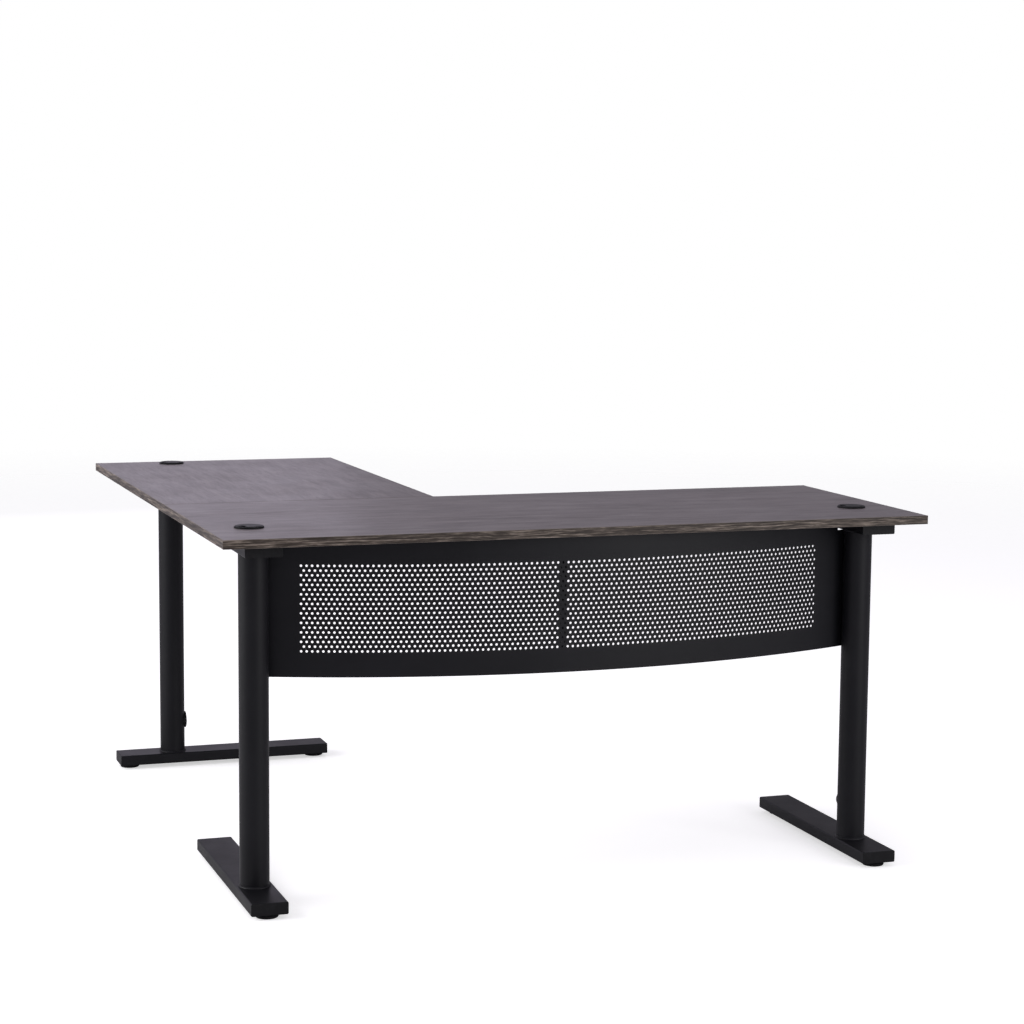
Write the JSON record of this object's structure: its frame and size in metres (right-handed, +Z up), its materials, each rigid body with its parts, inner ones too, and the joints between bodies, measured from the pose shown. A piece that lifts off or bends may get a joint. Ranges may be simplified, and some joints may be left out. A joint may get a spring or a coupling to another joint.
{
  "type": "corner desk",
  "caption": "L-shaped office corner desk: grey-brown wood-grain tops on black steel T-legs, with a bowed perforated modesty panel, cable grommets, leg cable outlets and levelling glides.",
  "frame": {"origin": "middle of the L's 1.5 m by 1.5 m outline, on the floor under the levelling glides", "axes": "+Z up; +X along the main top from the corner of the L to its free end; +Y from the visitor side, where the modesty panel is, to the user side, which is also the way the return top runs"},
  "size_m": [1.5, 1.5, 0.7545],
  "materials": {
    "top_laminate": "satin grey-brown wood-grain laminate",
    "edge_band": "satin streaked wood-grain edge band",
    "black_powder_coat": "satin black powder coat",
    "coated_weld": "rough weld bead under black powder coat",
    "black_plastic": "fine-textured moulded plastic",
    "glide_plastic": "scuffed moulded plastic",
    "grommet_plastic": "satin-gloss moulded plastic",
    "zinc_steel": "bright zinc plating",
    "black_screw": "black zinc plating"
  },
  "bodies": {
    "desk_frame": {"arm_screws": "black_screw", "board_inserts": "zinc_steel", "glide_nuts": "zinc_steel", "joining_plates": "zinc_steel", "joining_screws": "zinc_steel", "left_panel_tabs": "black_powder_coat", "main_edge_band": "edge_band", "main_left_arm": "black_powder_coat", "main_left_cable_bushing": "black_plastic", "main_left_column": "black_powder_coat", "main_left_end_caps": "black_plastic", "main_left_foot": "black_powder_coat", "main_left_grommet_liner": "grommet_plastic", "main_left_weld_beads": "coated_weld", "main_right_arm": "black_powder_coat", "main_right_cable_bushing": "black_plastic", "main_right_column": "black_powder_coat", "main_right_end_caps": "black_plastic", "main_right_foot": "black_powder_coat", "main_right_grommet_liner": "grommet_plastic", "main_right_weld_beads": "coated_weld", "main_top_board": "top_laminate", "modesty_panel": "black_powder_coat", "panel_centre_post": "black_powder_coat", "panel_standoffs": "black_powder_coat", "panel_stud_nuts": "zinc_steel", "panel_weld_studs": "zinc_steel", "post_screws": "black_screw", "return_arm": "black_powder_coat", "return_cable_bushing": "black_plastic", "return_column": "black_powder_coat", "return_edge_band": "edge_band", "return_end_caps": "black_plastic", "return_foot": "black_powder_coat", "return_grommet_liner": "grommet_plastic", "return_top_board": "top_laminate", "return_weld_beads": "coated_weld", "right_panel_tabs": "black_powder_coat", "standoff_screws": "black_screw"},
    "main_left_outer_pad": {"main_left_outer_glide_pad": "glide_plastic"},
    "main_left_outer_stud": {"main_left_outer_glide_stud": "zinc_steel"},
    "main_left_inner_pad": {"main_left_inner_glide_pad": "glide_plastic"},
    "main_left_inner_stud": {"main_left_inner_glide_stud": "zinc_steel"},
    "main_right_outer_pad": {"main_right_outer_glide_pad": "glide_plastic"},
    "main_right_outer_stud": {"main_right_outer_glide_stud": "zinc_steel"},
    "main_right_inner_pad": {"main_right_inner_glide_pad": "glide_plastic"},
    "main_right_inner_stud": {"main_right_inner_glide_stud": "zinc_steel"},
    "return_outer_pad": {"return_outer_glide_pad": "glide_plastic"},
    "return_outer_stud": {"return_outer_glide_stud": "zinc_steel"},
    "return_inner_pad": {"return_inner_glide_pad": "glide_plastic"},
    "return_inner_stud": {"return_inner_glide_stud": "zinc_steel"},
    "main_left_lid": {"main_left_grommet_lid": "grommet_plastic"},
    "main_right_lid": {"main_right_grommet_lid": "grommet_plastic"},
    "return_lid": {"return_grommet_lid": "grommet_plastic"}
  },
  "joints": [
    {"name": "main_left_outer_glide_height", "type": "slide", "parent": "desk_frame", "child": "main_left_outer_pad", "axis": [0, 0, -1], "range_m": [0, 0.012]},
    {"name": "main_left_outer_glide_thread", "type": "hinge", "parent": "main_left_outer_pad", "child": "main_left_outer_stud", "pos_m": [-0.66, -0.7165, 0.006], "axis": [0, 0, 1], "range_deg": [0, 3460]},
    {"name": "main_left_inner_glide_height", "type": "slide", "parent": "desk_frame", "child": "main_left_inner_pad", "axis": [0, 0, -1], "range_m": [0, 0.012]},
    {"name": "main_left_inner_glide_thread", "type": "hinge", "parent": "main_left_inner_pad", "child": "main_left_inner_stud", "pos_m": [-0.66, -0.2475, 0.006], "axis": [0, 0, 1], "range_deg": [0, 3460]},
    {"name": "main_right_outer_glide_height", "type": "slide", "parent": "desk_frame", "child": "main_right_outer_pad", "axis": [0, 0, -1], "range_m": [0, 0.012]},
    {"name": "main_right_outer_glide_thread", "type": "hinge", "parent": "main_right_outer_pad", "child": "main_right_outer_stud", "pos_m": [0.66, -0.7165, 0.006], "axis": [0, 0, 1], "range_deg": [0, 3460]},
    {"name": "main_right_inner_glide_height", "type": "slide", "parent": "desk_frame", "child": "main_right_inner_pad", "axis": [0, 0, -1], "range_m": [0, 0.012]},
    {"name": "main_right_inner_glide_thread", "type": "hinge", "parent": "main_right_inner_pad", "child": "main_right_inner_stud", "pos_m": [0.66, -0.2475, 0.006], "axis": [0, 0, 1], "range_deg": [0, 3460]},
    {"name": "return_outer_glide_height", "type": "slide", "parent": "desk_frame", "child": "return_outer_pad", "axis": [0, 0, -1], "range_m": [0, 0.012]},
    {"name": "return_outer_glide_thread", "type": "hinge", "parent": "return_outer_pad", "child": "return_outer_stud", "pos_m": [-0.6885, 0.66, 0.006], "axis": [0, 0, 1], "range_deg": [0, 3460]},
    {"name": "return_inner_glide_height", "type": "slide", "parent": "desk_frame", "child": "return_inner_pad", "axis": [0, 0, -1], "range_m": [0, 0.012]},
    {"name": "return_inner_glide_thread", "type": "hinge", "parent": "return_inner_pad", "child": "return_inner_stud", "pos_m": [-0.2195, 0.66, 0.006], "axis": [0, 0, 1], "range_deg": [0, 3460]},
    {"name": "main_left_lid_lift", "type": "slide", "parent": "desk_frame", "child": "main_left_lid", "axis": [0, 0, 1], "range_m": [0, 0.05]},
    {"name": "main_right_lid_lift", "type": "slide", "parent": "desk_frame", "child": "main_right_lid", "axis": [0, 0, 1], "range_m": [0, 0.05]},
    {"name": "return_lid_lift", "type": "slide", "parent": "desk_frame", "child": "return_lid", "axis": [0, 0, 1], "range_m": [0, 0.05]}
  ],
  "couplings": [
    {"joint": "main_left_outer_glide_thread", "follows": "main_left_outer_glide_height", "rad_per_m": 5026.5},
    {"joint": "main_left_inner_glide_thread", "follows": "main_left_inner_glide_height", "rad_per_m": 5026.5},
    {"joint": "main_right_outer_glide_thread", "follows": "main_right_outer_glide_height", "rad_per_m": 5026.5},
    {"joint": "main_right_inner_glide_thread", "follows": "main_right_inner_glide_height", "rad_per_m": 5026.5},
    {"joint": "return_outer_glide_thread", "follows": "return_outer_glide_height", "rad_per_m": 5026.5},
    {"joint": "return_inner_glide_thread", "follows": "return_inner_glide_height", "rad_per_m": 5026.5}
  ]
}
